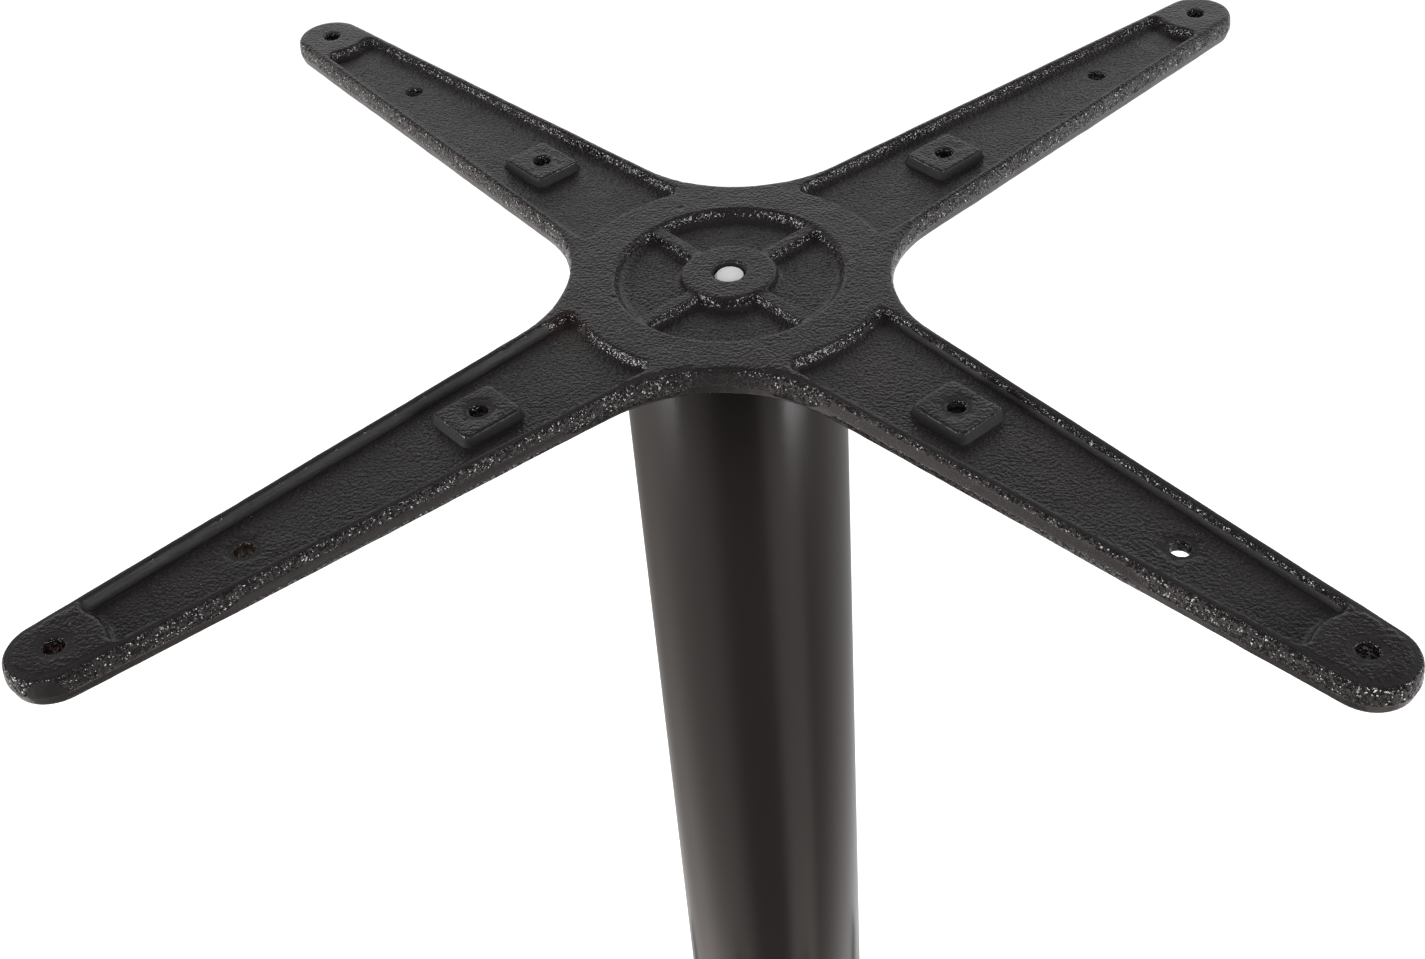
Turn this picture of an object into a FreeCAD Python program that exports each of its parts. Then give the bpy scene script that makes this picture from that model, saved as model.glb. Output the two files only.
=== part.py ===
import FreeCAD, Part
import math
import os

from FreeCAD import Vector

os.makedirs("parts", exist_ok=True)

# A pedestal table base: a cast iron spider that carries the table top, a steel
# tube column, a cast iron star foot on four screw glides, and one long rod that
# ties them together. Millimetres, +Z up, origin on the floor under the column.

# The whole base
table_height = 720.0          # floor to the faces that the table top rests on
arm_count = 4                 # arms of the spider, and of the star foot
first_arm_angle = 45.0        # the arms stand on the diagonals

# Spider outline, at the parting line of the mould
spider_reach = 244.4          # centre to the tip's round
spider_tip_round = 13.0
spider_taper = 3.48           # degrees, each side of an arm
spider_waist_round = 49.8     # hollow between two arms
spider_thickness = 10.3
parting_depth = 5.5           # parting line below the top face
upper_draft = 0.6             # how far the sides lean in from the parting line up
lower_draft = 1.3             # and from the parting line down
spider_edge_round = 1.9
under_edge_bevel = 1.0

# Long pocket in each arm
rim_width = 3.0
pocket_depth = 3.4
pocket_start = 53.2           # from the centre
pocket_end_gap = 15.3         # from the middle of the tip's round
pocket_draft = 0.5
pocket_corner_round = 3.1
pocket_floor_round = 2.3
lip_round = 0.8               # along every upper edge inside the outline

# Square pad that rises in each pocket
pad_length = 21.5
pad_width = 18.2
pad_offset = 0.5              # pad's middle beyond its hole
pad_draft = 0.4
pad_corner_round = 2.3
pad_foot_round = 1.0

# Screw holes for the table top
screw_hole_dia = 6.0
outer_hole_inset = 1.6        # from the middle of the tip's round
middle_hole_radius = 184.6
pad_hole_radius = 101.8

# Hub of the spider
hub_disc_radius = 15.5
recess_radius = 38.3
recess_depth = 5.9
recess_draft = 0.9
recess_floor_round = 2.2
rib_width = 4.2
rib_drop = 1.0                # rib tops below the top face
rib_draft = 0.5
rod_sight_dia = 10.7          # open end of the rod hole
rod_sight_depth = 5.0
spider_boss_dia = 34.0
spider_boss_length = 14.0
spigot_wall = 5.0
spigot_height = 9.0
spigot_clearance = 0.4        # all round, inside the column

# Column
column_dia = 76.2
column_wall = 1.6

# Star foot outline, at its lower edge
foot_reach = 252.0            # centre to the glides, and to the tip's round
foot_tip_round = 24.0
foot_taper = 2.6
foot_waist_round = 42.0
foot_wall = 5.0
foot_draft = 2.0              # degrees
foot_clearance = 6.0          # floor to the lower edge

# Star foot from the side
foot_tip_height = 35.0        # arm top at the tip, above the floor
foot_root_height = 56.0       # arm top where it meets the collar
collar_rise = 32.0            # seat of the column above the arm's root
collar_radius = 45.0
collar_lean = 12.0            # degrees
collar_foot_round = 34.0
collar_edge_round = 2.5
foot_edge_bevel = 4.5
foot_roof = 8.0               # thickness under the column's seat
web_thickness = 5.0           # web under each arm's top
web_depth = 9.0

# Rod and its fasteners
rod_dia = 10.0
rod_chamfer = 1.0
rod_top_depth = 2.4           # rod end below the spider's top face
rod_tail = 5.0                # rod end below its nut
thread_clearance = 0.05
rod_hole_clearance = 0.5
plate_washer_dia = 48.0
plate_washer_thickness = 4.0
spring_washer_dia = 18.1
spring_washer_thickness = 2.2
spring_washer_gap = 1.6
nut_across_flats = 17.0
nut_height = 8.0

# Screw glides
glide_pad_dia = 28.0
glide_pad_height = 9.0
glide_pad_bevel = 1.5
stud_dia = 7.9
stud_length = 20.0            # above its pad
stud_seat = 5.0               # moulded into the pad
stud_chamfer = 0.8
stud_fit = 0.05
glide_boss_dia = 19.0
glide_hole_spare = 1.5        # blind end of the hole above the stud

# Heights that follow
spider_underside = table_height - spider_thickness
parting_height = table_height - parting_depth
outer_hole_radius = spider_reach - outer_hole_inset
collar_height = foot_root_height + collar_rise
column_inner_radius = column_dia / 2 - column_wall
spigot_radius = column_inner_radius - spigot_clearance
hub_ceiling = collar_height - foot_roof
plate_washer_bottom = hub_ceiling - plate_washer_thickness
spring_washer_bottom = plate_washer_bottom - spring_washer_thickness
nut_bottom = spring_washer_bottom - nut_height
arm_pitch = 360.0 / arm_count
up = Vector(0, 0, 1)
centre = Vector(0, 0, 0)
touching = 0.01               # closer than this, two places are taken as one
round_share = 0.85            # most of a wall that a round at its end may take


def polar(radius, degrees, z=0.0):
    angle = math.radians(degrees)
    return Vector(radius * math.cos(angle), radius * math.sin(angle), z)


def mirrored(point):
    return Vector(point.x, -point.y, point.z)


def around(shape):
    """One copy on each arm of a shape that is drawn along +X."""
    copies = []
    for arm in range(arm_count):
        copy = shape.copy()
        copy.rotate(centre, up, first_arm_angle + arm * arm_pitch)
        copies.append(copy)
    return Part.makeCompound(copies)


def upright(diameter, bottom, top, x=0.0):
    return Part.makeCylinder(diameter / 2, top - bottom, Vector(x, 0, bottom))


def turned(points):
    """A solid turned about Z from its (radius, height) corners."""
    corners = [Vector(radius, 0, height) for radius, height in points]
    face = Part.Face(Part.makePolygon(corners + corners[:1]))
    return face.revolve(centre, up, 360)


def between(lower, upper):
    """A solid with straight sides from one outline up to another."""
    return Part.makeLoft([lower, upper], True, True)


def rectangle(middle_x, length, width, height):
    left = middle_x - length / 2
    right = middle_x + length / 2
    side = width / 2
    corners = [(left, -side), (right, -side), (right, side), (left, side), (left, -side)]
    return Part.makePolygon([Vector(x, y, height) for x, y in corners])


def edges_spanning(shape, low, high):
    """Edges whose lowest and highest points lie at the two heights."""
    found = []
    for edge in shape.Edges:
        box = edge.BoundBox
        if abs(box.ZMin - low) < touching and abs(box.ZMax - high) < touching:
            found.append(edge)
    return found


def edges_on(edges, shape):
    """Those of the edges whose middle lies on a shape."""
    found = []
    for edge in edges:
        middle = edge.valueAt((edge.FirstParameter + edge.LastParameter) / 2)
        if Part.Vertex(middle).distToShape(shape)[0] < touching:
            found.append(edge)
    return found


def star_outline(reach, tip_round, taper, waist_round, offset, height):
    """Closed outline of a star: round tips, tapered arms, hollow waists."""
    lean = math.radians(taper)
    outward = Vector(math.sin(lean), math.cos(lean), 0)
    tip_radius = tip_round + offset
    waist_radius = waist_round - offset
    side_distance = reach * math.sin(lean) + tip_radius
    half_pitch = math.radians(arm_pitch / 2)
    waist_distance = (side_distance + waist_radius) / math.sin(half_pitch + lean)
    tip_centre = Vector(reach, 0, height)
    tip_touch = tip_centre + outward * tip_radius
    tip_end = tip_centre + Vector(tip_radius, 0, 0)
    waist_touch = polar(waist_distance, arm_pitch / 2, height) - outward * waist_radius
    waist_middle = polar(waist_distance - waist_radius, arm_pitch / 2, height)
    next_arm = FreeCAD.Rotation(up, arm_pitch)
    next_waist_touch = next_arm.multVec(mirrored(waist_touch))
    next_tip_touch = next_arm.multVec(mirrored(tip_touch))
    one_arm = [
        Part.Arc(mirrored(tip_touch), tip_end, tip_touch).toShape(),
        Part.LineSegment(tip_touch, waist_touch).toShape(),
        Part.Arc(waist_touch, waist_middle, next_waist_touch).toShape(),
        Part.LineSegment(next_waist_touch, next_tip_touch).toShape(),
    ]
    return Part.Wire(around(Part.makeCompound(one_arm)).Edges)


def spider_outline(offset, height):
    return star_outline(spider_reach, spider_tip_round, spider_taper, spider_waist_round, offset, height)


def pocket_outline(inset, height):
    """Outline of the pocket in the arm that lies along +X."""
    lean = math.radians(spider_taper)
    outward = Vector(math.sin(lean), math.cos(lean), 0)
    along = Vector(math.cos(lean), -math.sin(lean), 0)
    half_tip = spider_tip_round - upper_draft - rim_width - inset
    side_distance = spider_reach * math.sin(lean) + half_tip
    start_radius = pocket_start + inset
    end_radius = pocket_end_gap + inset
    start_run = math.sqrt(start_radius ** 2 - side_distance ** 2)
    end_run = math.sqrt(end_radius ** 2 - half_tip ** 2)
    start = Vector(0, 0, height) + outward * side_distance + along * start_run
    end = Vector(spider_reach, 0, height) + outward * half_tip - along * end_run
    start_middle = Vector(start_radius, 0, height)
    end_middle = Vector(spider_reach - end_radius, 0, height)
    return Part.Wire([
        Part.Arc(mirrored(start), start_middle, start).toShape(),
        Part.LineSegment(start, end).toShape(),
        Part.Arc(end, end_middle, mirrored(end)).toShape(),
        Part.LineSegment(mirrored(end), mirrored(start)).toShape(),
    ])


def table_pad():
    """The square pad that stands in a pocket, flush with the top face."""
    floor = table_height - pocket_depth
    middle = pad_hole_radius + pad_offset
    foot = rectangle(middle, pad_length + 2 * pad_draft, pad_width + 2 * pad_draft, floor)
    pad = between(foot, rectangle(middle, pad_length, pad_width, table_height))
    return pad.makeFillet(pad_corner_round, edges_spanning(pad, floor, table_height))


def pocket():
    """What a pocket takes out of the casting, round its pad."""
    floor = table_height - pocket_depth
    hollow = between(pocket_outline(pocket_draft, floor), pocket_outline(0.0, table_height))
    hollow = hollow.makeFillet(pocket_corner_round, edges_spanning(hollow, floor, table_height))
    hollow = hollow.makeFillet(pocket_floor_round, edges_spanning(hollow, floor, floor))
    pad = table_pad()
    hollow = hollow.cut(pad)
    pad_foot = edges_on(edges_spanning(hollow, floor, floor), pad)
    return hollow.makeFillet(pad_foot_round, pad_foot)


def hub_recess():
    """The ring-shaped hollow round the hub's disc, left standing at its ribs."""
    floor = table_height - recess_depth
    hollow = turned([
        (hub_disc_radius, table_height),
        (recess_radius, table_height),
        (recess_radius - recess_draft, floor),
        (hub_disc_radius + recess_draft, floor),
    ])
    rib_foot = rectangle(recess_radius, 2 * recess_radius, rib_width + 2 * rib_draft, floor)
    rib_top = rectangle(recess_radius, 2 * recess_radius, rib_width, table_height - rib_drop)
    hollow = hollow.cut(around(between(rib_foot, rib_top)))
    return hollow.makeFillet(recess_floor_round, edges_spanning(hollow, floor, floor))


def spigot(bottom):
    """Ring that centres one end of the column from inside."""
    outer = upright(2 * spigot_radius, bottom, bottom + spigot_height)
    return outer.cut(upright(2 * (spigot_radius - spigot_wall), bottom, bottom + spigot_height))


def top_spider():
    parting = spider_outline(0.0, parting_height)
    upper = between(parting, spider_outline(-upper_draft, table_height))
    upper = upper.makeFillet(spider_edge_round, edges_spanning(upper, table_height, table_height))
    lower = between(spider_outline(-lower_draft, spider_underside), parting)
    underside = edges_spanning(lower, spider_underside, spider_underside)
    lower = lower.makeChamfer(under_edge_bevel, underside)
    hollows = Part.makeCompound([around(pocket()), hub_recess()])
    casting = upper.fuse(lower).cut(hollows)
    lips = edges_on(edges_spanning(casting, table_height, table_height), hollows)
    casting = casting.makeFillet(lip_round, lips)

    boss_bottom = spider_underside - spider_boss_length
    casting = casting.fuse(upright(spider_boss_dia, boss_bottom, spider_underside))
    casting = casting.fuse(spigot(spider_underside - spigot_height))
    casting = casting.cut(upright(rod_dia + 2 * thread_clearance, boss_bottom, table_height))
    casting = casting.cut(upright(rod_sight_dia, table_height - rod_sight_depth, table_height))
    for radius in (outer_hole_radius, middle_hole_radius, pad_hole_radius):
        holes = around(upright(screw_hole_dia, spider_underside, table_height, radius))
        casting = casting.cut(holes)
    return casting


def column():
    outer = upright(column_dia, collar_height, spider_underside)
    return outer.cut(upright(2 * column_inner_radius, collar_height, spider_underside))


def foot_star(wall):
    """Star with drafted sides, from the lower edge up past the collar."""
    rise = collar_height - foot_clearance
    narrowing = rise * math.tan(math.radians(foot_draft))
    size = (foot_reach, foot_tip_round, foot_taper, foot_waist_round)
    lower = star_outline(*size, -wall, foot_clearance)
    return between(lower, star_outline(*size, -wall - narrowing, collar_height))


def foot_roof_form(wall, ceiling):
    """Turned form under which the star is cut off: collar, hollow bend, sloping arms."""
    edge = foot_reach + foot_tip_round
    lean = math.radians(collar_lean)
    root_radius = collar_radius + collar_rise * math.tan(lean)
    slope = math.atan2(foot_root_height - foot_tip_height, edge - root_radius)
    edge_height = foot_tip_height - wall / math.cos(slope)
    top_radius = collar_radius - wall / math.cos(lean) + (collar_height - ceiling) * math.tan(lean)
    spread = edge - top_radius - ceiling * math.tan(lean)
    bend_height = (edge_height + spread * math.tan(slope)) / (1 - math.tan(slope) * math.tan(lean))
    bend_radius = top_radius + (ceiling - bend_height) * math.tan(lean)
    form = turned([
        (0, foot_clearance),
        (edge, foot_clearance),
        (edge, edge_height),
        (bend_radius, bend_height),
        (top_radius, ceiling),
        (0, ceiling),
    ])
    collar_side = (ceiling - bend_height) / math.cos(lean)
    half_turn = (math.pi / 2 - lean - slope) / 2
    bend_round = min(collar_foot_round, round_share * collar_side / math.tan(half_turn))
    bend = edges_spanning(form, bend_height, bend_height)
    if wall:
        # inside, the core follows the bend with a flat
        return form.makeChamfer(bend_round * math.tan(half_turn), bend)
    return form.makeFillet(bend_round, bend)


def base_star():
    form = foot_roof_form(0.0, collar_height)
    form = form.makeFillet(collar_edge_round, edges_spanning(form, collar_height, collar_height))
    star = foot_star(0.0)
    casting = star.common(form)
    shoulders = edges_on(edges_on(casting.Edges, star_sides(star)), form.Shells[0])
    shoulders = [edge for edge in shoulders if edge.BoundBox.ZMin > foot_clearance + touching]
    casting = casting.makeChamfer(foot_edge_bevel, shoulders)

    cavity = foot_star(foot_wall).common(foot_roof_form(foot_wall, hub_ceiling))
    shell = casting.cut(cavity)
    boss = around(upright(glide_boss_dia, glide_pad_height, collar_height, foot_reach))
    web = Part.makeBox(foot_reach, web_thickness, collar_height, Vector(0, -web_thickness / 2, 0))
    hub = upright(2 * collar_radius, 0, collar_height)
    lowered = cavity.copy()
    lowered.translate(Vector(0, 0, -web_depth))
    webs = around(web.cut(hub)).common(cavity).cut(lowered)
    shell = shell.fuse(boss.common(casting)).fuse(webs)
    shell = shell.fuse(spigot(collar_height))
    shell = shell.cut(upright(rod_dia + 2 * rod_hole_clearance, 0, collar_height + spigot_height))
    hole_dia = stud_dia + 2 * stud_fit
    hole_top = glide_pad_height + stud_length + glide_hole_spare
    return shell.cut(around(upright(hole_dia, glide_pad_height, hole_top, foot_reach)))


def star_sides(star):
    """Side faces of a drafted star, without its flat ends."""
    sides = []
    for face in star.Faces:
        if face.BoundBox.ZLength > touching:
            sides.append(face)
    return Part.makeCompound(sides)


def tie_rod():
    rod = upright(rod_dia, nut_bottom - rod_tail, table_height - rod_top_depth)
    return rod.makeChamfer(rod_chamfer, edges_spanning(rod, rod.BoundBox.ZMin, rod.BoundBox.ZMin)
                           + edges_spanning(rod, rod.BoundBox.ZMax, rod.BoundBox.ZMax))


def plate_washer():
    washer = upright(plate_washer_dia, plate_washer_bottom, hub_ceiling)
    return washer.cut(upright(rod_dia + 2 * rod_hole_clearance, plate_washer_bottom, hub_ceiling))


def spring_washer():
    ring = upright(spring_washer_dia, spring_washer_bottom, plate_washer_bottom)
    ring = ring.cut(upright(rod_dia + 2 * rod_hole_clearance, spring_washer_bottom, plate_washer_bottom))
    cut_length = spring_washer_dia / 2
    slot = Part.makeBox(cut_length, spring_washer_gap, 3 * spring_washer_thickness)
    slot.translate(Vector(0, -spring_washer_gap / 2, -1.5 * spring_washer_thickness))
    slot.rotate(centre, Vector(1, 0, 0), 30)
    slot.translate(Vector(0, 0, spring_washer_bottom + spring_washer_thickness / 2))
    return ring.cut(slot)


def hex_nut():
    corner_radius = nut_across_flats / math.sqrt(3)
    bevel = (corner_radius - nut_across_flats / 2) * math.tan(math.radians(30))
    corners = [polar(corner_radius, 60 * corner, nut_bottom) for corner in range(7)]
    prism = Part.Face(Part.makePolygon(corners)).extrude(up * nut_height)
    crown = turned([
        (0, nut_bottom),
        (nut_across_flats / 2, nut_bottom),
        (corner_radius, nut_bottom + bevel),
        (corner_radius, nut_bottom + nut_height - bevel),
        (nut_across_flats / 2, nut_bottom + nut_height),
        (0, nut_bottom + nut_height),
    ])
    bore = upright(rod_dia + 2 * thread_clearance, nut_bottom, nut_bottom + nut_height)
    return prism.common(crown).cut(bore)


def glide_pad():
    pad = upright(glide_pad_dia, 0, glide_pad_height, foot_reach)
    pad = pad.makeChamfer(glide_pad_bevel, edges_spanning(pad, 0, 0))
    return pad.cut(upright(stud_dia, glide_pad_height - stud_seat, glide_pad_height, foot_reach))


def glide_stud():
    top = glide_pad_height + stud_length
    stud = upright(stud_dia, glide_pad_height - stud_seat, top, foot_reach)
    return stud.makeChamfer(stud_chamfer, edges_spanning(stud, top, top))


pieces = {
    "top_spider": top_spider(),
    "column": column(),
    "base_star": base_star(),
    "tie_rod": tie_rod(),
    "plate_washer": plate_washer(),
    "spring_washer": spring_washer(),
    "hex_nut": hex_nut(),
}
for number, pad in enumerate(around(glide_pad()).Solids, start=1):
    pieces["glide_pad_" + str(number)] = pad
for number, stud in enumerate(around(glide_stud()).Solids, start=1):
    pieces["glide_stud_" + str(number)] = stud

for name, piece in pieces.items():
    piece.exportStep("parts/" + name + ".step")
    solids = len(piece.Solids)
    print(name, "valid" if piece.isValid() else "not valid", solids, "solid", round(piece.Volume), "mm3")
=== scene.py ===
import math

import bmesh
import bpy
from mathutils import Matrix, Vector
from mathutils.kdtree import KDTree


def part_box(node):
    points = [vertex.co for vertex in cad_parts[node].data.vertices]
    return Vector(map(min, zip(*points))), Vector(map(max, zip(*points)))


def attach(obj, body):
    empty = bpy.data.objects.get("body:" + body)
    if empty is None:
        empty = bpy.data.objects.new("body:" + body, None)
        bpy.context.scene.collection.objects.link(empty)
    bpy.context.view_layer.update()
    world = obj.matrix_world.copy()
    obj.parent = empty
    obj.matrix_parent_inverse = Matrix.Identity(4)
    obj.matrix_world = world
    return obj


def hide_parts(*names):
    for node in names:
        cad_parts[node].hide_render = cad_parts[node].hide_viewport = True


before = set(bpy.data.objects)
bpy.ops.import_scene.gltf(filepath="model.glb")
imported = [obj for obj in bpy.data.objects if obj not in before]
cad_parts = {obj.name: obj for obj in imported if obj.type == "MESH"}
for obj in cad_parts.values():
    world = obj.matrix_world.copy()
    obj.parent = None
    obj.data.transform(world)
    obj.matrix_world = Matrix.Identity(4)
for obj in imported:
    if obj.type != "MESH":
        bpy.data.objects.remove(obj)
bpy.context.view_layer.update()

mm = 0.001


# colours and nodes

def linearColour(hexText):
    # sRGB hex, as a colour picker shows it, to the linear values that Blender wants
    channels = []
    for start in (1, 3, 5):
        value = int(hexText[start:start + 2], 16) / 255
        channels.append(value / 12.92 if value <= 0.04045 else ((value + 0.055) / 1.055) ** 2.4)
    return (*channels, 1.0)


def addNode(material, kind, settings=None, links=None):
    # settings go to a property of the node, or to the input of that name or number
    node = material.node_tree.nodes.new(kind)
    for name, value in (settings or {}).items():
        if isinstance(name, str) and hasattr(node, name):
            setattr(node, name, value)
        else:
            node.inputs[name].default_value = value
    for name, source in (links or {}).items():
        material.node_tree.links.new(source, node.inputs[name])
    return node


def softStep(material, value, start, end, low=0.0, high=1.0):
    # low up to the start, high from the end on, and smooth between them
    return addNode(material, "ShaderNodeMapRange",
                   {"interpolation_type": "SMOOTHSTEP", "From Min": start, "From Max": end,
                    "To Min": low, "To Max": high}, {"Value": value}).outputs["Result"]


def combined(material, operation, first, second):
    return addNode(material, "ShaderNodeMath", {"operation": operation}, {0: first, 1: second}).outputs[0]


def distanceFrom(material, place, middle):
    return addNode(material, "ShaderNodeVectorMath", {"operation": "DISTANCE", 1: middle},
                   {0: place}).outputs["Value"]


def placeInMm(material):
    return addNode(material, "ShaderNodeVectorMath", {"operation": "SCALE", "Scale": 1 / mm},
                   {0: addNode(material, "ShaderNodeTexCoord").outputs["Object"]}).outputs[0]


def newMaterial(name):
    material = bpy.data.materials.new(name)
    material.use_nodes = True
    material.node_tree.nodes.clear()
    return material


def finishMaterial(material, shader):
    output = addNode(material, "ShaderNodeOutputMaterial")
    material.node_tree.links.new(shader.outputs[0], output.inputs["Surface"])
    return material


def wear(piece, material):
    piece.data.materials.clear()
    piece.data.materials.append(material)


# finishes

castingPaint = {
    # the near-black third colour is painted shade, laid in where the skin is low: hole walls, pad sides, the
    # far pocket walls and the front rim
    "colour": "#191617", "dustColour": "#221f20", "paintedShadeColour": "#070606", "rustColour": "#3a2012",
    "dustMm": 22.0, "roughness": 0.27, "roughnessSpread": 0.05, "dustRange": (0.3, 0.7),
    # thick paint runs smooth and dull where the skin is below this share, and there its colour is darkened
    # toward the near-black one as painted shade
    "fullSkin": 0.6, "dullRoughness": 0.8,
    # each layer of the skin: its size, its height on level faces and its height on walls, all in mm
    "layers": [(6.0, 0.08, 0.10), (1.15, 0.22, 0.16), (0.7, 0.06, 0.06)], "layerDetail": (2.0, 2.0, 1.0),
    # how upright the normal is on walls and on level faces, for the layers and for the facets
    "layerTurn": (0.35, 0.9), "facetTurn": (0.8, 0.95),
    # walls are set with glossy facets of sand: their size, how far they tilt and what they add to the gloss
    "facetMm": 0.6, "facetTilt": 1.35, "facetGloss": 0.1,
    # blown grains of sand leave small round pits: spacing, depth, and edges as a share of the spacing
    "pitMm": 5.0, "pitDepth": 0.3, "pitEdge": (0.05, 0.1),
    # the lower half of the mould left a smooth band round the outside, below the parting line
    "bandBottom": (709.8, 710.1), "bandTop": (713.5, 714.2), "bandGrain": 0.06, "bandTurn": (0.5, 0.7),
    # where the parting line wanders: middle, radius and rise, with a step from a share of the radius on
    "bandWander": [((-34.0, -58.0, 713.0), 24.0, -2.1), ((29.0, -56.0, 713.0), 14.0, -2.1),
                   ((-86.5, -111.5, 713.0), 62.0, 2.1), ((75.0, -102.0, 713.0), 64.0, 3.9)],
    "wanderStep": 0.85,
    # bare iron that rusts: middle, radius and strength, and how far out it is solid
    "rust": [((-130.5, -130.5, 712.0), 5.8, 1.4), ((-171.7, -171.7, 713.0), 7.0, 1.4),
             ((-49.0, -27.0, 716.0), 13.0, 0.15), ((27.3, -56.5, 711.3), 1.3, 1.0)],
    "rustCore": 0.4,
    # nicks in the lip of the recess: middle, radius and depth
    "nicks": [((-19.2, 38.6, 720.0), 1.7, 0.6), ((-36.3, -13.9, 720.0), 1.7, 0.6)],
}


def grainHeight(material, settings, place, upright):
    height = None
    for (sizeMm, levelMm, wallMm), detail in zip(settings["layers"], settings["layerDetail"]):
        noise = addNode(material, "ShaderNodeTexNoise",
                        {"Scale": 1 / sizeMm, "Detail": detail, "Roughness": 0.5}, {"Vector": place})
        # the noise keeps near its middle, so its height is doubled
        amount = softStep(material, upright, *settings["layerTurn"], wallMm * 2, levelMm * 2)
        layer = combined(material, "MULTIPLY", noise.outputs["Fac"], amount)
        height = layer if height is None else combined(material, "ADD", height, layer)
    return height


def facetSlope(material, settings, place):
    # each grain of sand is a small plane with a tilt of its own
    cells = addNode(material, "ShaderNodeTexVoronoi", {"Scale": 1 / settings["facetMm"]}, {"Vector": place})
    tilt = addNode(material, "ShaderNodeVectorMath", {"operation": "SUBTRACT", 1: (0.5, 0.5, 0.5)},
                   {0: cells.outputs["Color"]})
    across = addNode(material, "ShaderNodeVectorMath", {"operation": "SUBTRACT"},
                     {0: place, 1: cells.outputs["Position"]})
    return addNode(material, "ShaderNodeVectorMath", {"operation": "DOT_PRODUCT"},
                   {0: tilt.outputs[0], 1: across.outputs[0]}).outputs["Value"]


def dented(material, settings, place, height):
    pits = addNode(material, "ShaderNodeTexVoronoi", {"Scale": 1 / settings["pitMm"]}, {"Vector": place})
    pit = softStep(material, pits.outputs["Distance"], *settings["pitEdge"], -settings["pitDepth"], 0.0)
    height = combined(material, "ADD", height, pit)
    for middle, radius, depth in settings["nicks"]:
        nick = softStep(material, distanceFrom(material, place, middle), 0.0, radius, -depth, 0.0)
        height = combined(material, "ADD", height, nick)
    return height


def outsideBand(material, settings, place, upright):
    # 1 everywhere except on the smooth band, where it falls to the band's grain
    level = addNode(material, "ShaderNodeSeparateXYZ", None, {0: place}).outputs["Z"]
    for middle, radius, rise in settings["bandWander"]:
        lift = softStep(material, distanceFrom(material, place, middle),
                        radius * settings["wanderStep"], radius, -rise, 0.0)
        level = combined(material, "ADD", level, lift)
    under = softStep(material, level, *settings["bandBottom"], 1.0, settings["bandGrain"])
    over = softStep(material, level, *settings["bandTop"])
    topSide = softStep(material, upright, *settings["bandTurn"])
    return combined(material, "MAXIMUM", combined(material, "MAXIMUM", under, over), topSide)


def rusted(material, settings, place, dust, colour, rust):
    for middle, radius, strength in rust:
        # doubled, because the dust that breaks the patch up keeps near its middle
        patch = softStep(material, distanceFrom(material, place, middle),
                         radius * settings["rustCore"], radius, strength * 2, 0.0)
        broken = addNode(material, "ShaderNodeMath", {"operation": "MULTIPLY", "use_clamp": True},
                         {0: patch, 1: dust})
        colour = addNode(material, "ShaderNodeMix",
                         {"data_type": "RGBA", 7: linearColour(settings["rustColour"])},
                         {0: broken.outputs[0], 6: colour}).outputs[2]
    return colour


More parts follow.
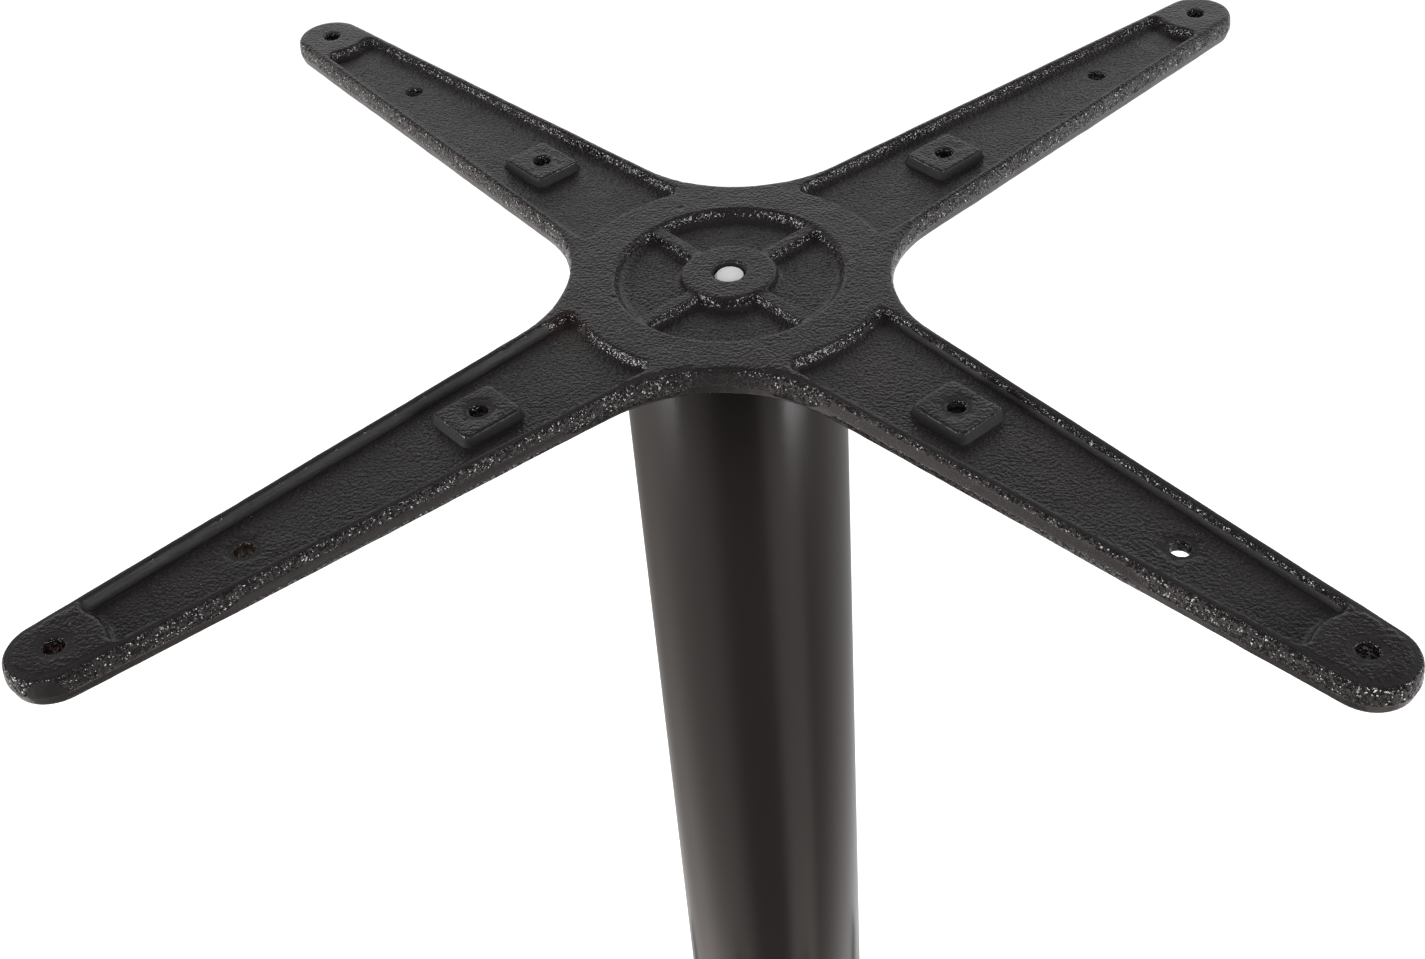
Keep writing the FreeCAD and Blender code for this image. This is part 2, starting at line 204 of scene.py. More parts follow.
def paintedCasting(name, settings, band, rust):
    # sand-cast iron under black texture paint: a charcoal skin of small glossy grains
    material = newMaterial(name)
    place = placeInMm(material)
    dust = addNode(material, "ShaderNodeTexNoise",
                   {"Scale": 1 / settings["dustMm"], "Detail": 4.0, "Roughness": 0.6},
                   {"Vector": place}).outputs["Fac"]
    # how upright the normal is: 1 on level faces and 0 on walls, where the sand shows more
    facing = addNode(material, "ShaderNodeSeparateXYZ", None,
                     {0: addNode(material, "ShaderNodeNewGeometry").outputs["Normal"]})
    upright = addNode(material, "ShaderNodeMath", {"operation": "ABSOLUTE"},
                      {0: facing.outputs["Z"]}).outputs[0]
    grit = addNode(material, "ShaderNodeAttribute", {"attribute_name": "grit"}).outputs["Fac"]
    skin = addNode(material, "ShaderNodeAttribute", {"attribute_name": "skin"}).outputs["Fac"]

    steep = softStep(material, upright, *settings["facetTurn"], settings["facetTilt"], 0.0)
    facets = combined(material, "MULTIPLY", steep, grit)
    slope = combined(material, "MULTIPLY", facetSlope(material, settings, place), facets)
    height = combined(material, "ADD", slope, grainHeight(material, settings, place, upright))
    height = dented(material, settings, place, height)
    if band:
        beyond = outsideBand(material, settings, place, upright)
        height = combined(material, "MULTIPLY", height, beyond)
        facets = combined(material, "MULTIPLY", facets, beyond)
    height = combined(material, "MULTIPLY", height, skin)
    bump = addNode(material, "ShaderNodeBump", {"Strength": 1.0, "Distance": 1.0 * mm}, {"Height": height})

    painted = addNode(material, "ShaderNodeMix",
                      {"data_type": "RGBA", 6: linearColour(settings["colour"]),
                       7: linearColour(settings["dustColour"])}, {0: dust}).outputs[2]
    colour = rusted(material, settings, place, dust, painted, rust)
    # painted shade: where the skin is below its full share the colour is darkened toward near-black
    unshadedShare = addNode(material, "ShaderNodeMapRange", {"From Max": settings["fullSkin"]}, {"Value": skin})
    colour = addNode(material, "ShaderNodeMix",
                     {"data_type": "RGBA", 6: linearColour(settings["paintedShadeColour"])},
                     {0: unshadedShare.outputs["Result"], 7: colour}).outputs[2]

    leastDust, mostDust = settings["dustRange"]
    roughness = addNode(material, "ShaderNodeMapRange",
                        {"From Min": leastDust, "From Max": mostDust,
                         "To Min": settings["roughness"] - settings["roughnessSpread"],
                         "To Max": settings["roughness"] + settings["roughnessSpread"]}, {"Value": dust})
    dull = addNode(material, "ShaderNodeMapRange",
                   {"From Max": settings["fullSkin"], "To Min": settings["dullRoughness"], "To Max": 0.0},
                   {"Value": skin})
    grainy = addNode(material, "ShaderNodeMath", {"operation": "MULTIPLY_ADD", 1: -settings["facetGloss"]},
                     {0: facets, 2: roughness.outputs["Result"]})
    sheen = combined(material, "ADD", grainy.outputs[0], dull.outputs["Result"])
    shader = addNode(material, "ShaderNodeBsdfPrincipled", {"Metallic": 0.0, "IOR": 1.5},
                     {"Base Color": colour, "Roughness": sheen, "Normal": bump.outputs["Normal"]})
    return finishMaterial(material, shader)


tubePaint = {
    "colour": "#1c1817", "roughness": 0.22, "peelMm": 3.0, "peelHeight": 0.012,
    # specks of dust under the coat: spacing, height, and edges as a share of the spacing
    "speckMm": 11.0, "speckHeight": 0.05, "speckEdge": (0.015, 0.03),
}


def powderCoatedTube(settings=tubePaint):
    # satin black powder coat on drawn tube: smooth with a faint orange peel and a few specks
    material = newMaterial("satinBlackPowderCoat")
    place = placeInMm(material)
    peel = addNode(material, "ShaderNodeTexNoise",
                   {"Scale": 1 / settings["peelMm"], "Detail": 2.0}, {"Vector": place})
    specks = addNode(material, "ShaderNodeTexVoronoi", {"Scale": 1 / settings["speckMm"]}, {"Vector": place})
    inner, outer = settings["speckEdge"]
    speck = addNode(material, "ShaderNodeMapRange",
                    {"From Min": inner, "From Max": outer, "To Min": settings["speckHeight"], "To Max": 0.0},
                    {"Value": specks.outputs["Distance"]})
    height = addNode(material, "ShaderNodeMath", {"operation": "MULTIPLY_ADD", 1: settings["peelHeight"]},
                     {0: peel.outputs["Fac"], 2: speck.outputs["Result"]})
    bump = addNode(material, "ShaderNodeBump", {"Strength": 1.0, "Distance": 1.0 * mm},
                   {"Height": height.outputs[0]})
    shader = addNode(material, "ShaderNodeBsdfPrincipled",
                     {"Base Color": linearColour(settings["colour"]), "Metallic": 0.0, "IOR": 1.5,
                      "Roughness": settings["roughness"]},
                     {"Normal": bump.outputs["Normal"]})
    return finishMaterial(material, shader)


zinc = {
    "name": "brightZincOnSteel", "colour": "#f4f6f8",
    "metallic": 0.5, "roughness": (0.40, 0.60), "grainMm": 0.8,
}
# the sawn end of the rod scatters more light than the rolled and turned faces
rodZinc = {
    "name": "dullZincOnRod", "colour": "#f7f8fa",
    "metallic": 0.25, "roughness": (0.42, 0.62), "grainMm": 1.6,
}


def zincPlatedSteel(settings=zinc):
    # bright zinc on turned and rolled steel: pale, a little blue, with fine tool marks
    material = newMaterial(settings["name"])
    place = placeInMm(material)
    grain = addNode(material, "ShaderNodeTexNoise",
                    {"Scale": 1 / settings["grainMm"], "Detail": 3.0}, {"Vector": place})
    least, most = settings["roughness"]
    roughness = addNode(material, "ShaderNodeMapRange", {"To Min": least, "To Max": most},
                        {"Value": grain.outputs["Fac"]})
    bump = addNode(material, "ShaderNodeBump", {"Strength": 0.4, "Distance": 0.02 * mm},
                   {"Height": grain.outputs["Fac"]})
    shader = addNode(material, "ShaderNodeBsdfPrincipled",
                     {"Base Color": linearColour(settings["colour"]), "Metallic": settings["metallic"]},
                     {"Roughness": roughness.outputs["Result"], "Normal": bump.outputs["Normal"]})
    return finishMaterial(material, shader)


nylon = {"colour": "#232323", "roughness": 0.5, "grainMm": 0.4}


def mouldedNylon(settings=nylon):
    # moulded nylon: dull black with the mould's fine spark-eroded grain
    material = newMaterial("mouldedBlackNylon")
    place = addNode(material, "ShaderNodeTexCoord").outputs["Object"]
    grain = addNode(material, "ShaderNodeTexNoise",
                    {"Scale": 1 / (settings["grainMm"] * mm), "Detail": 2.0}, {"Vector": place})
    bump = addNode(material, "ShaderNodeBump", {"Strength": 0.5, "Distance": 0.04 * mm},
                   {"Height": grain.outputs["Fac"]})
    shader = addNode(material, "ShaderNodeBsdfPrincipled",
                     {"Base Color": linearColour(settings["colour"]), "Metallic": 0.0, "IOR": 1.53,
                      "Roughness": settings["roughness"]},
                     {"Normal": bump.outputs["Normal"]})
    return finishMaterial(material, shader)


# castings, remeshed from their solids so that their faces and edges are a little uneven

def newPiece(pieceName, mesh, nodeName, body="root"):
    mesh.name = pieceName
    piece = bpy.data.objects.new(pieceName, mesh)
    bpy.context.scene.collection.objects.link(piece)
    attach(piece, body)
    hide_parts(nodeName)
    return piece


def joinRings(work, rings, smoothSides=()):
    # faces from each ring of points to the next, and from the last to the first
    for step, ring in enumerate(rings):
        after = rings[(step + 1) % len(rings)]
        for index in range(len(ring)):
            following = (index + 1) % len(ring)
            face = work.faces.new((ring[index], after[index], after[following], ring[following]))
            face.smooth = index in smoothSides


weldGap = 0.001 * mm


def weldedCopy(nodeName):
    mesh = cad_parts[nodeName].data.copy()
    work = bmesh.new()
    work.from_mesh(mesh)
    bmesh.ops.remove_doubles(work, verts=work.verts, dist=weldGap)
    work.to_mesh(mesh)
    work.free()
    return mesh


def bendSection(settings, angle):
    # the ring's outline on one side: along the bend up to the waist's side wall, and back lower down
    quarter = math.pi / 2
    fromWaist = (angle + quarter / 2) % quarter - quarter / 2
    chord = settings["waistRadius"] ** 2 - (settings["waistMiddle"] * math.sin(fromWaist)) ** 2
    inner, outer = settings["inner"], settings["outer"]
    if chord > 0:
        side = settings["waistMiddle"] * math.cos(fromWaist) - math.sqrt(chord)
        outer = min(outer, side - settings["sideGap"])
    bendOut, bendUp = settings["bendMiddle"]
    section = []
    for index in range(settings["across"]):
        radius = inner + (outer - inner) * index / (settings["across"] - 1)
        section.append((radius, bendUp - math.sqrt(settings["bendRadius"] ** 2 - (bendOut - radius) ** 2)))
    return section + [(radius, z - settings["thick"]) for radius, z in reversed(section)]


def addBend(mesh, settings):
    # a ring just under the hollow bend between collar and arms closes the casting's thin skin there
    work = bmesh.new()
    work.from_mesh(mesh)
    rings = []
    for step in range(settings["around"]):
        angle = 2 * math.pi * step / settings["around"]
        rings.append([work.verts.new((radius * math.cos(angle) * mm, radius * math.sin(angle) * mm, z * mm))
                      for radius, z in bendSection(settings, angle)])
    joinRings(work, rings)
    bmesh.ops.recalc_face_normals(work, faces=work.faces)
    work.to_mesh(mesh)
    work.free()


def applyModifiers(piece):
    graph = bpy.context.evaluated_depsgraph_get()
    finished = bpy.data.meshes.new_from_object(piece.evaluated_get(graph))
    finished.validate()
    piece.modifiers.clear()
    piece.data = finished


def addLumps(piece, sizeMm, heightMm):
    texture = bpy.data.textures.new(piece.name + "Lumps" + str(sizeMm), "CLOUDS")
    texture.noise_scale = sizeMm * mm
    texture.noise_depth = 2
    lumps = piece.modifiers.new("lumps" + str(sizeMm), "DISPLACE")
    lumps.texture = texture
    lumps.texture_coords = "LOCAL"
    lumps.strength = heightMm * mm
    lumps.mid_level = 0.5


def fitInside(piece, nodeName):
    # lumps reach a little past the solid, so the whole skin is drawn back to the solid's box
    low, high = (Vector(corner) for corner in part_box(nodeName))
    points = [vertex.co for vertex in piece.data.vertices]
    for axis in range(3):
        start = min(point[axis] for point in points)
        end = max(point[axis] for point in points)
        share = (high[axis] - low[axis]) / (end - start)
        for point in points:
            point[axis] = low[axis] + (point[axis] - start) * share


def smoothShare(value, start, end):
    share = min(1.0, max(0.0, (value - start) / (end - start)))
    return share * share * (3 - 2 * share)


def easeRecess(piece, settings):
    # the skin of the recess round the hub runs out softly: a shallow floor and a leaning outer wall
    top = max(vertex.co.z for vertex in piece.data.vertices)
    for vertex in piece.data.vertices:
        point = vertex.co
        depth = top - point.z
        radius = math.hypot(point.x, point.y)
        if radius < settings["inner"] * mm or radius > settings["outer"] * mm:
            continue
        if depth > settings["depth"] * mm:
            continue
        point.z = top - depth * settings["keepDepth"]
        share = smoothShare(radius / mm, settings["leanFrom"], settings["leanTo"])
        pull = 1 - settings["lean"] * mm * share * depth / (settings["depth"] * mm) / radius
        point.x *= pull
        point.y *= pull


def thinWeb(piece, settings):
    # the floor of this pocket is thin round its hole, so light comes through the hole past its edge
    holeX, holeY = settings["hole"]
    for vertex in piece.data.vertices:
        point = vertex.co
        depth = settings["floor"] * mm - point.z
        if depth < 0 or depth > settings["depth"] * mm:
            continue
        away = math.hypot(point.x / mm - holeX, point.y / mm - holeY)
        share = 1 - smoothShare(away, settings["inner"], settings["outer"])
        point.z += depth * share * (1 - settings["keepDepth"])


# how far a normal points up on faces that lean and on faces that are level
leaningTurn = (0.6, 0.82)
levelTurn = (0.85, 0.95)


def findWall(points, normals, settings):
    # the points of the outer wall, seen from above, to measure the distance from it
    low, high = settings["wallLevels"]
    wall = [(point.x, point.y, 0) for point, normal in zip(points, normals)
            if low < point.z < high and abs(normal) < settings["wallTurn"]
            and math.hypot(point.x, point.y) > settings["wallReach"]]
    tree = KDTree(len(wall))
    for index, place in enumerate(wall):
        tree.insert(place, index)
    tree.balance()
    return tree if wall else None


def skinAt(point, normal, edge, settings):
    # grit, how much loose sand a point holds, and skin, how rough its paint runs and, below the full share,
    # how much painted shade darkens it
    grit, skin = settings["outerGrit"], 1.0
    flat = smoothShare(normal, *levelTurn)
    reach = math.hypot(point.x, point.y)
    inside = edge > settings["rimWidth"]
    if inside:
        grit = settings["innerGrit"] * (1 - smoothShare(abs(normal), *leaningTurn))
    elif edge < settings["rimWidth"]:
        grit = grit * (1 - flat)
        skin = 1 - flat * (1 - settings["rimSkin"]) * (1 - smoothShare(point.y, *settings["rimFade"]))
    for start, end, level in settings["tips"]:
        if start < reach < end and skin == 1.0:
            skin = 1 - flat * (1 - level)
    for x, y, radius, share in settings["lessGrit"]:
        if math.hypot(point.x - x, point.y - y) < radius and inside:
            grit = grit * share
            skin = skin * max(settings["leastSkin"], 1 - (1 - share) * settings["skinLoss"] * (1 - flat))
    for middle, radius, cleanGrit, cleanSkin in settings["clean"]:
        if (point - Vector(middle)).length < radius:
            grit, skin = cleanGrit, cleanSkin
    quiet = settings["quiet"]
    for side in quiet["sides"]:
        turned = point.x * side + point.y
        if (point.y < quiet["front"] and abs(point.x) > quiet["beyond"] and turned > quiet["turned"]
                and inside):
            if side > 0 and point.z > quiet["fleckLevel"]:
                grit, skin = quiet["flecks"]
            else:
                grit = quiet["grit"]
                skin = quiet["skin"] + (1 - quiet["skin"]) * smoothShare(normal, *quiet["turn"])
    return grit, skin


def lipDrop(point, edge, settings):
    # how far the worn inner edge of a rim lies below its full height
    lip = settings["lip"]
    reach = math.hypot(point.x, point.y)
    along = min(smoothShare(reach, lip["start"], lip["start"] + lip["run"]),
                1 - smoothShare(reach, lip["end"] - lip["run"], lip["end"]))
    if along <= 0 or not lip["inner"] < edge < lip["outer"] or point.z <= lip["floor"]:
        return 0.0
    share = (edge - lip["inner"]) / (lip["outer"] - lip["inner"])
    high = (point.z - lip["floor"]) / (lip["top"] - lip["floor"])
    return lip["drop"] * along * share * share * high


def markSkin(piece, settings):
    gritMarks = piece.data.attributes.new("grit", "FLOAT", "POINT")
    skinMarks = piece.data.attributes.new("skin", "FLOAT", "POINT")
    points = [vertex.co / mm for vertex in piece.data.vertices]
    normals = [vertex.normal.z for vertex in piece.data.vertices]
    wall = findWall(points, normals, settings)
    for index, (point, normal) in enumerate(zip(points, normals)):
        edge = wall.find((point.x, point.y, 0))[2] if wall else math.inf
        gritMarks.data[index].value, skinMarks.data[index].value = skinAt(point, normal, edge, settings)
        if "lip" in settings:
            piece.data.vertices[index].co.z -= lipDrop(point, edge, settings) * mm


armTurn = 45.0


def castPiece(nodeName, pieceName, settings):
    piece = newPiece(pieceName, weldedCopy(nodeName), nodeName)
    if "bend" in settings:
        addBend(piece.data, settings["bend"])
    # the cells of the remesh lie along the arms
    piece.data.transform(Matrix.Rotation(math.radians(-armTurn), 4, "Z"))
    remesh = piece.modifiers.new("remesh", "REMESH")
    remesh.mode = "VOXEL"
    remesh.voxel_size = settings["cellMm"] * mm
    remesh.use_smooth_shade = True
    soften = piece.modifiers.new("soften", "SMOOTH")
    soften.factor = 0.5
    soften.iterations = settings["softenPasses"]
    for sizeMm, heightMm in settings["lumps"]:
        addLumps(piece, sizeMm, heightMm)
    thin = piece.modifiers.new("thin", "DECIMATE")
    thin.ratio = settings["keep"]
    applyModifiers(piece)
    piece.data.transform(Matrix.Rotation(math.radians(armTurn), 4, "Z"))
    fitInside(piece, nodeName)
    if "recess" in settings:
        easeRecess(piece, settings["recess"])
    if "web" in settings:
        thinWeb(piece, settings["web"])
    markSkin(piece, settings["skin"])
    print(pieceName, len(piece.data.polygons), "faces")
    return piece


armSides = [(x, y) for x in (-1, 1) for y in (-1, 1)]

topCasting = {
    "cellMm": 0.65, "softenPasses": 2, "keep": 0.34, "lumps": [(30.0, 0.4), (9.0, 0.2)],
    "recess": {"inner": 12.0, "outer": 39.4, "depth": 6.9, "keepDepth": 0.62,
               "lean": 1.8, "leanFrom": 27.0, "leanTo": 37.0},
    "web": {"hole": (130.5, -130.5), "floor": 716.6, "depth": 8.0, "inner": 6.0, "outer": 10.0,
            "keepDepth": 0.58},
    "skin": {
        "wallLevels": (710.6, 713.4), "wallTurn": 0.3, "wallReach": 46.0,
        "outerGrit": 1.0, "innerGrit": 0.5,
        # the top of the rim runs smoother on the front half, and painted shade darkens it there
        "rimWidth": 2.6, "rimSkin": 0.35, "rimFade": (-45.0, -25.0),
        # the rod's hole, the screw holes and the sides of the pads hold less sand, and painted shade darkens
        # their walls: middle, radius and share
        "lessGrit": [(0.0, 0.0, 8.0, 0.0)]
                    + [(reach * x, reach * y, 4.3, 0.0)
                       for reach in (72.0, 130.5, 171.7) for x, y in armSides]
                    + [(72.0 * x, 72.0 * y, 15.0, 0.4) for x, y in armSides],
        "leastSkin": 0.1, "skinLoss": 1.35,
        # places that run smoother, and darker with painted shade where their skin is low: middle, radius,
        # grit and skin
        "clean": [((-170.0, -187.0, 714.0), 6.0, 0.0, 0.35), ((3.0, -52.0, 715.0), 12.0, 0.4, 0.9)],
        # level faces of the tips: from, to and skin
        "tips": [(214.0, 260.0, 0.7)],
        # the far side of each front arm's pocket holds little sand and is darkened with painted shade, with
        # flecks high up in the right one
        "quiet": {"sides": [-1, 1], "front": -28.0, "beyond": 44.0, "turned": 12.0, "turn": (0.94, 0.995),
                  "grit": 0.1, "skin": 0.3, "fleckLevel": 718.2, "flecks": (0.8, 0.9)},
        # the inner edge of each arm's rim is worn round
        "lip": {"start": 64.0, "end": 214.0, "run": 8.0, "inner": 1.2, "outer": 3.4,
                "floor": 716.6, "top": 720.0, "drop": 0.4},
    },
}
footCasting = {
    "cellMm": 1.4, "softenPasses": 2, "keep": 0.5, "lumps": [(40.0, 0.6), (10.0, 0.3)],
    "bend": {"inner": 48.5, "outer": 66.0, "thick": 5.0, "bendMiddle": (79.9, 87.4), "bendRadius": 34.0,
             "waistMiddle": 104.5, "waistRadius": 42.0, "sideGap": 6.0, "around": 180, "across": 10},
    # one even skin, with no rim to measure from
    "skin": {"wallLevels": (0.0, 0.0), "wallTurn": 0.3, "wallReach": 46.0, "outerGrit": 0.5, "innerGrit": 0.5,
             "rimWidth": 0.0, "lessGrit": [], "clean": [], "tips": [], "quiet": {"sides": []}},
}

topPiece = castPiece("top_spider", "topCasting", topCasting)
wear(topPiece, paintedCasting("blackTexturePaintOnTopCasting", castingPaint, True, castingPaint["rust"]))
footPiece = castPiece("base_star", "footCasting", footCasting)
wear(footPiece, paintedCasting("blackTexturePaintOnFootCasting", castingPaint, False, []))
print("castings made")


# column, rod and screws

def turnedMesh(levels, around, radiusAt):
    # a closed round bar: one ring of points on each level, its radius given for each height and angle
    work = bmesh.new()
    rings = []
    for z in levels:
        ring = []
        for step in range(around):
            angle = 2 * math.pi * step / around
            radius = radiusAt(z, angle)
            ring.append(work.verts.new((radius * math.cos(angle), radius * math.sin(angle), z)))
        rings.append(ring)
    for lower, upper in zip(rings, rings[1:]):
        for step in range(around):
            after = (step + 1) % around
            face = work.faces.new((lower[step], lower[after], upper[after], upper[step]))
            face.smooth = True
    work.faces.new(rings[0][::-1])
    work.faces.new(rings[-1])
    mesh = bpy.data.meshes.new("turned")
    work.to_mesh(mesh)
    work.free()
    return mesh


def evenLevels(start, end, step):
    count = max(1, math.ceil((end - start) / step))
    return [start + (end - start) * index / count for index in range(count)]


# shares of half a pitch that the flat root and the straight flank take
threadRoot = 0.08
threadFlank = 0.8


def threadRadius(z, angle, radius, pitch, depth):
    # rolled thread: straight flanks, with a narrow flat at root and crest
    phase = (z / pitch - angle / (2 * math.pi)) % 1.0
    rise = abs(phase - 0.5) * 2
    return radius - depth * (1 - min(1.0, max(0.0, (rise - threadRoot) / threadFlank)))


rodThread = {
    # the rod's end lies this much higher in the photograph than in the solid
    "rise": 1.0,
    "pitch": 1.5, "depth": 0.92, "length": 32.0, "runOut": 2.0, "chamfer": 0.4,
    "around": 48, "stepsPerPitch": 8, "plainStep": 40.0,
}


def makeRod(settings=rodThread):
    low, high = (Vector(corner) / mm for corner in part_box("tie_rod"))
    radius = (high.x - low.x) / 2
    start, end = low.z, high.z + settings["rise"]
    step = settings["pitch"] / settings["stepsPerPitch"]

    def radiusAt(zMetres, angle):
        z = zMetres / mm
        inset = min(z - start, end - z)
        threaded = threadRadius(z, angle, radius, settings["pitch"], settings["depth"])
        plain = min(1.0, max(0.0, (inset - settings["length"]) / settings["pitch"]))
        edge = radius - settings["chamfer"] + max(0.0, inset)
        return min(threaded + (radius - threaded) * plain, edge) * mm

    threaded = settings["length"] + settings["runOut"]
    levels = evenLevels(start, start + threaded, step)
    levels += evenLevels(start + threaded, end - threaded, settings["plainStep"])
    levels += evenLevels(end - threaded, end, step) + [end]
    return turnedMesh([z * mm for z in levels], settings["around"], radiusAt)


studThread = {"pitch": 1.25, "depth": 0.77, "chamfer": 0.8, "around": 32, "stepsPerPitch": 6}


def makeStud(nodeName, settings=studThread):
    low, high = (Vector(corner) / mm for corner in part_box(nodeName))
    radius = (high.x - low.x) / 2
    middle = (low + high) / 2

    def radiusAt(zMetres, angle):
        z = zMetres / mm
        threaded = threadRadius(z, angle, radius, settings["pitch"], settings["depth"])
        return min(threaded, radius - settings["chamfer"] + max(0.0, high.z - z)) * mm

    levels = evenLevels(low.z, high.z, settings["pitch"] / settings["stepsPerPitch"]) + [high.z]
    mesh = turnedMesh([z * mm for z in levels], settings["around"], radiusAt)
    mesh.transform(Matrix.Translation((middle.x * mm, middle.y * mm, 0)))
    return mesh


# the long outer and inner sides of the tube's profile are the smooth ones
columnTube = {"around": 192, "wall": 1.6, "edge": 0.4, "smoothSides": (3, 7)}


def makeTube(settings=columnTube):
    low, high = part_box("column")
    outer = (high[0] - low[0]) / 2
    inner = outer - settings["wall"] * mm
    edge = settings["edge"] * mm
    profile = [(inner, low[2] + edge), (inner + edge, low[2]), (outer - edge, low[2]), (outer, low[2] + edge),
               (outer, high[2] - edge), (outer - edge, high[2]),
               (inner + edge, high[2]), (inner, high[2] - edge)]
    work = bmesh.new()
    rings = []
    for step in range(settings["around"]):
        angle = 2 * math.pi * step / settings["around"]
        rings.append([work.verts.new((radius * math.cos(angle), radius * math.sin(angle), z))
                      for radius, z in profile])
    joinRings(work, rings, settings["smoothSides"])
    bmesh.ops.recalc_face_normals(work, faces=work.faces)
    mesh = bpy.data.meshes.new("tube")
    work.to_mesh(mesh)
    work.free()
    return mesh


zincMaterial = zincPlatedSteel()
nylonMaterial = mouldedNylon()
tubePiece = newPiece("columnTube", makeTube(), "column")
wear(tubePiece, powderCoatedTube())
rodPiece = newPiece("threadedTieRod", makeRod(), "tie_rod")
wear(rodPiece, zincPlatedSteel(rodZinc))
for name in ("plate_washer", "spring_washer", "hex_nut"):
    wear(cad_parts[name], zincMaterial)
for number in range(1, 5):
    studName = "glide_stud_" + str(number)
    stud = newPiece("glideScrew" + str(number), makeStud(studName), studName,
                    "glide_" + str(number))
    wear(stud, zincMaterial)
    wear(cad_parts["glide_pad_" + str(number)], nylonMaterial)
print("column, rod and screws made")


# studio

studio = {
    "floorHalf": 6.0, "paper": "#e6e6e6", "paperFill": 0.9, "warm": "#fff6f1",
    # level of the whole room near the horizon and overhead, and how high the change between them goes
    "room": 0.15, "overhead": 0.04, "roomRise": (0.0, 0.4),
    # the white sweep behind: its turn in degrees, its width, its height and what the ceiling keeps of it
    "sweepTurn": 14.0, "sweepWidth": (0.1, 0.97), "sweepRise": (0.39, 0.70), "ceiling": 0.08,
    # the height from which the floor shows in gloss, and the one that the lamps aim at
    "mirrorHeight": 0.6, "aimHeight": 0.7,
    # pale boards beside the object, as its sides mirror them: direction, full and outer half angle, level
    "boards": [(-60.0, 16.0, 50.0, 0.48), (42.0, 6.0, 22.0, 0.6)],
    "sideTone": 0.54, "sideTurn": (-0.8, 0.3),
    # name, direction from the front, height, distance, width, height of the box, watts, seen in gloss
    "lamps": [
        ("leftSoftBox", -64.0, 1.0, 1.3, 0.5, 0.5, 17.0, True),
        ("rightSoftBox", 58.0, 1.0, 1.3, 0.5, 0.5, 16.0, True),
        ("topSoftBox", 10.0, 2.3, 0.3, 0.9, 0.9, 12.0, False),
    ],
}


def studioTone(material, direction):
    # how bright the studio is in a direction: dim in front, pale boards at the sides, a white sweep behind
    parts = addNode(material, "ShaderNodeSeparateXYZ", None, {0: direction})
    level = addNode(material, "ShaderNodeCombineXYZ", None,
                    {"X": parts.outputs["X"], "Y": parts.outputs["Y"]})
    heading = addNode(material, "ShaderNodeVectorMath", {"operation": "NORMALIZE"}, {0: level.outputs[0]})
    low = softStep(material, parts.outputs["Z"], *studio["roomRise"], 1.0, 0.0)
    backwards = addNode(material, "ShaderNodeVectorMath", {"operation": "DOT_PRODUCT", 1: (0.0, 1.0, 0.0)},
                        {0: heading.outputs[0]})
    boards = softStep(material, backwards.outputs["Value"], *studio["sideTurn"], 0.0, studio["sideTone"])
    for azimuth, full, outer, strength in studio["boards"]:
        facing = (math.sin(math.radians(azimuth)), -math.cos(math.radians(azimuth)), 0.0)
        toward = addNode(material, "ShaderNodeVectorMath", {"operation": "DOT_PRODUCT", 1: facing},
                         {0: heading.outputs[0]})
        board = softStep(material, toward.outputs["Value"], math.cos(math.radians(outer)),
                         math.cos(math.radians(full)), 0.0, strength)
        boards = combined(material, "ADD", boards, board)
    around = addNode(material, "ShaderNodeMath", {"operation": "ADD", 1: studio["room"]}, {0: boards})
    tone = addNode(material, "ShaderNodeMath", {"operation": "MULTIPLY_ADD", 2: studio["overhead"]},
                   {0: around.outputs[0], 1: low})
    turn = math.radians(studio["sweepTurn"])
    behindIt = addNode(material, "ShaderNodeVectorMath",
                       {"operation": "DOT_PRODUCT", 1: (math.sin(turn), math.cos(turn), 0.0)},
                       {0: heading.outputs[0]})
    sweep = softStep(material, behindIt.outputs["Value"], *studio["sweepWidth"])
    sweepTop = softStep(material, parts.outputs["Z"], *studio["sweepRise"], 1.0, studio["ceiling"])
    return tone.outputs[0], combined(material, "MULTIPLY", sweep, sweepTop)


def whiteWhereSeen(material, tone, behind):
    # plain white straight to the camera and through glass, and to gloss where the white sweep stands
    rays = addNode(material, "ShaderNodeLightPath")
    mirrored = combined(material, "MULTIPLY", rays.outputs["Is Glossy Ray"], behind)
    direct = combined(material, "MAXIMUM", rays.outputs["Is Camera Ray"], rays.outputs["Is Transmission Ray"])
    white = combined(material, "MAXIMUM", mirrored, direct)
    warm = addNode(material, "ShaderNodeVectorMath",
                   {"operation": "SCALE", 0: linearColour(studio["warm"])[:3]}, {"Scale": tone})
    return addNode(material, "ShaderNodeMix", {"data_type": "RGBA", 7: (1.0, 1.0, 1.0, 1.0)},
                   {0: white, 6: warm.outputs[0]}).outputs[2]


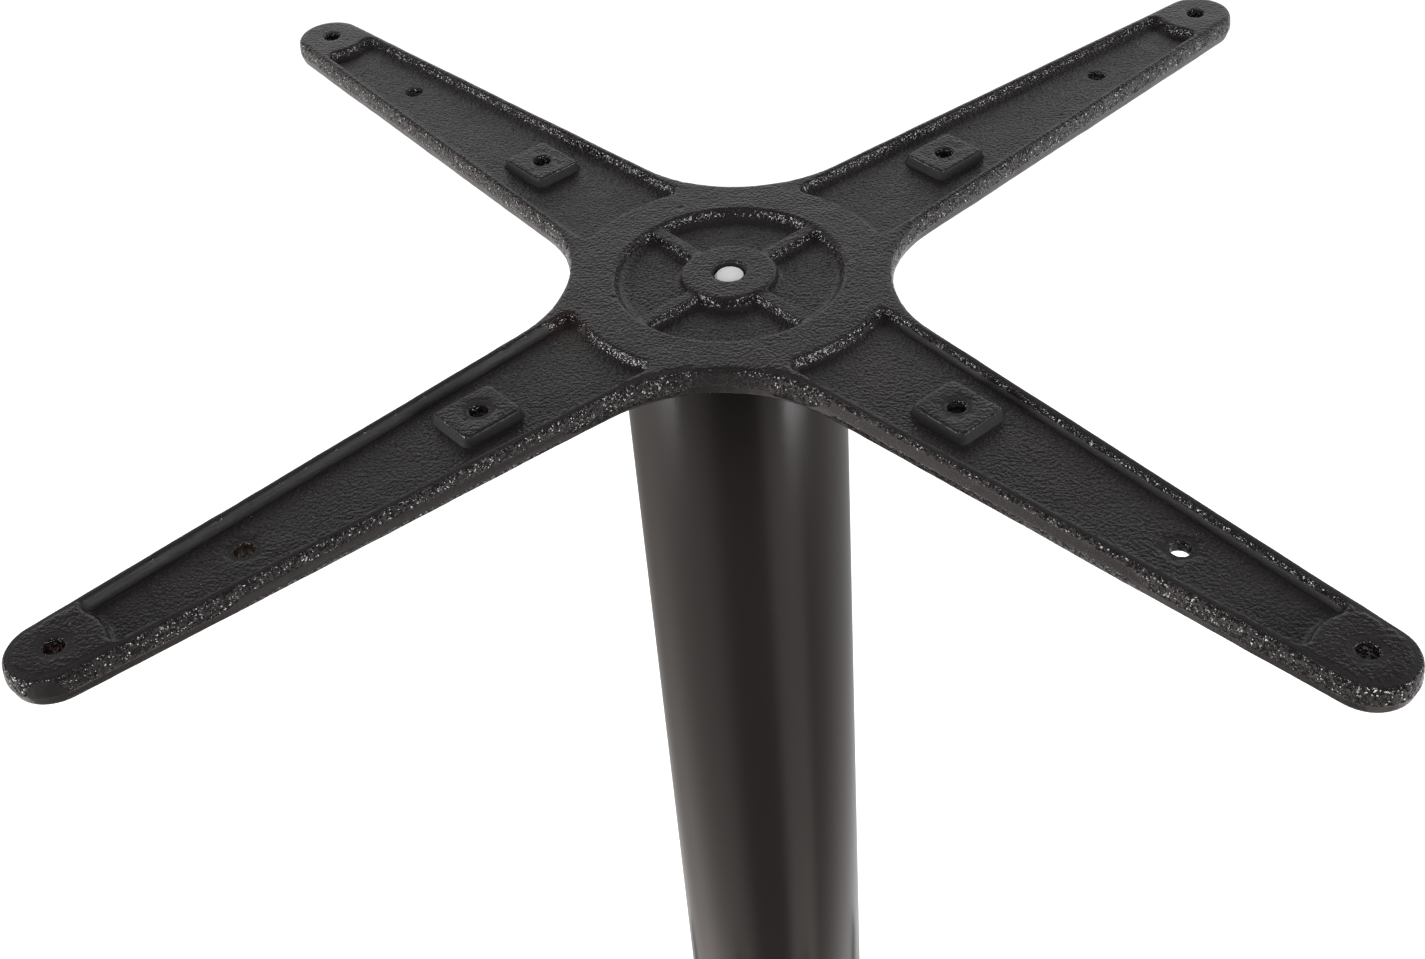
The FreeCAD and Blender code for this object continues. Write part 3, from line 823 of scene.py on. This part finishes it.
def makeFloor():
    half = studio["floorHalf"]
    mesh = bpy.data.meshes.new("floor")
    corners = [(-half, -half, 0), (half, -half, 0), (half, half, 0), (-half, half, 0)]
    mesh.from_pydata(corners, [], [(0, 1, 2, 3)])
    floor = bpy.data.objects.new("floor", mesh)
    bpy.context.scene.collection.objects.link(floor)
    material = newMaterial("whitePaperSweep")
    place = addNode(material, "ShaderNodeTexCoord").outputs["Object"]
    outward = addNode(material, "ShaderNodeVectorMath",
                      {"operation": "SUBTRACT", 1: (0.0, 0.0, studio["mirrorHeight"])}, {0: place})
    direction = addNode(material, "ShaderNodeVectorMath", {"operation": "NORMALIZE"}, {0: outward.outputs[0]})
    tone, behind = studioTone(material, direction.outputs[0])
    rays = addNode(material, "ShaderNodeLightPath")
    paper = addNode(material, "ShaderNodeBsdfDiffuse", {"Color": linearColour(studio["paper"])})
    # the paper takes the object's shadow, and a fill brings the rest of it up to white for the camera
    fill = addNode(material, "ShaderNodeEmission", {"Strength": studio["paperFill"]})
    seen = addNode(material, "ShaderNodeAddShader", None, {0: paper.outputs[0], 1: fill.outputs[0]})
    mirror = addNode(material, "ShaderNodeEmission", None, {"Color": whiteWhereSeen(material, tone, behind)})
    direct = addNode(material, "ShaderNodeMixShader", None,
                     {0: rays.outputs["Is Camera Ray"], 1: paper.outputs[0], 2: seen.outputs[0]})
    shader = addNode(material, "ShaderNodeMixShader", None,
                     {0: rays.outputs["Is Glossy Ray"], 1: direct.outputs[0], 2: mirror.outputs[0]})
    finishMaterial(material, shader)
    wear(floor, material)


def makeWorld():
    world = bpy.data.worlds.new("studioWorld")
    bpy.context.scene.world = world
    world.use_nodes = True
    direction = addNode(world, "ShaderNodeTexCoord").outputs["Generated"]
    tone, behind = studioTone(world, direction)
    background = world.node_tree.nodes["Background"]
    background.inputs["Strength"].default_value = 1.0
    world.node_tree.links.new(whiteWhereSeen(world, tone, behind), background.inputs["Color"])


def makeLamps():
    aim = Vector((0, 0, studio["aimHeight"]))
    for name, azimuth, height, distance, width, boxHeight, watts, inGloss in studio["lamps"]:
        light = bpy.data.lights.new(name, "AREA")
        light.shape = "RECTANGLE"
        light.size = width
        light.size_y = boxHeight
        light.energy = watts
        lamp = bpy.data.objects.new(name, light)
        lamp.visible_glossy = inGloss
        bpy.context.scene.collection.objects.link(lamp)
        turn = math.radians(azimuth)
        lamp.location = (distance * math.sin(turn), -distance * math.cos(turn), height)
        lamp.rotation_mode = "QUATERNION"
        lamp.rotation_quaternion = (aim - lamp.location).to_track_quat("-Z", "Y")


makeFloor()
makeWorld()
makeLamps()

cameraView = {
    "azimuth": 6.90, "elevation": 40.54, "roll": -4.78,
    "distanceMm": 541.4, "targetMm": (1.55, -104.98, 720.0), "lensMm": 47.73, "sensorMm": 36.0,
}


def makeCamera():
    azimuth = math.radians(cameraView["azimuth"])
    elevation = math.radians(cameraView["elevation"])
    roll = math.radians(cameraView["roll"])
    back = Vector((math.sin(azimuth) * math.cos(elevation),
                   -math.cos(azimuth) * math.cos(elevation), math.sin(elevation)))
    right = (-back).cross(Vector((0, 0, 1))).normalized()
    upward = right.cross(-back)
    right, upward = (right * math.cos(roll) + upward * math.sin(roll),
                     upward * math.cos(roll) - right * math.sin(roll))
    data = bpy.data.cameras.new("camera")
    data.lens = cameraView["lensMm"]
    data.sensor_width = cameraView["sensorMm"]
    camera = bpy.data.objects.new("camera", data)
    bpy.context.scene.collection.objects.link(camera)
    place = Vector(cameraView["targetMm"]) * mm + back * cameraView["distanceMm"] * mm
    turn = Matrix((right, upward, back)).transposed()
    camera.matrix_world = Matrix.Translation(place) @ turn.to_4x4()
    bpy.context.scene.camera = camera


makeCamera()
bpy.context.scene.view_settings.view_transform = "Standard"
print("studio made")
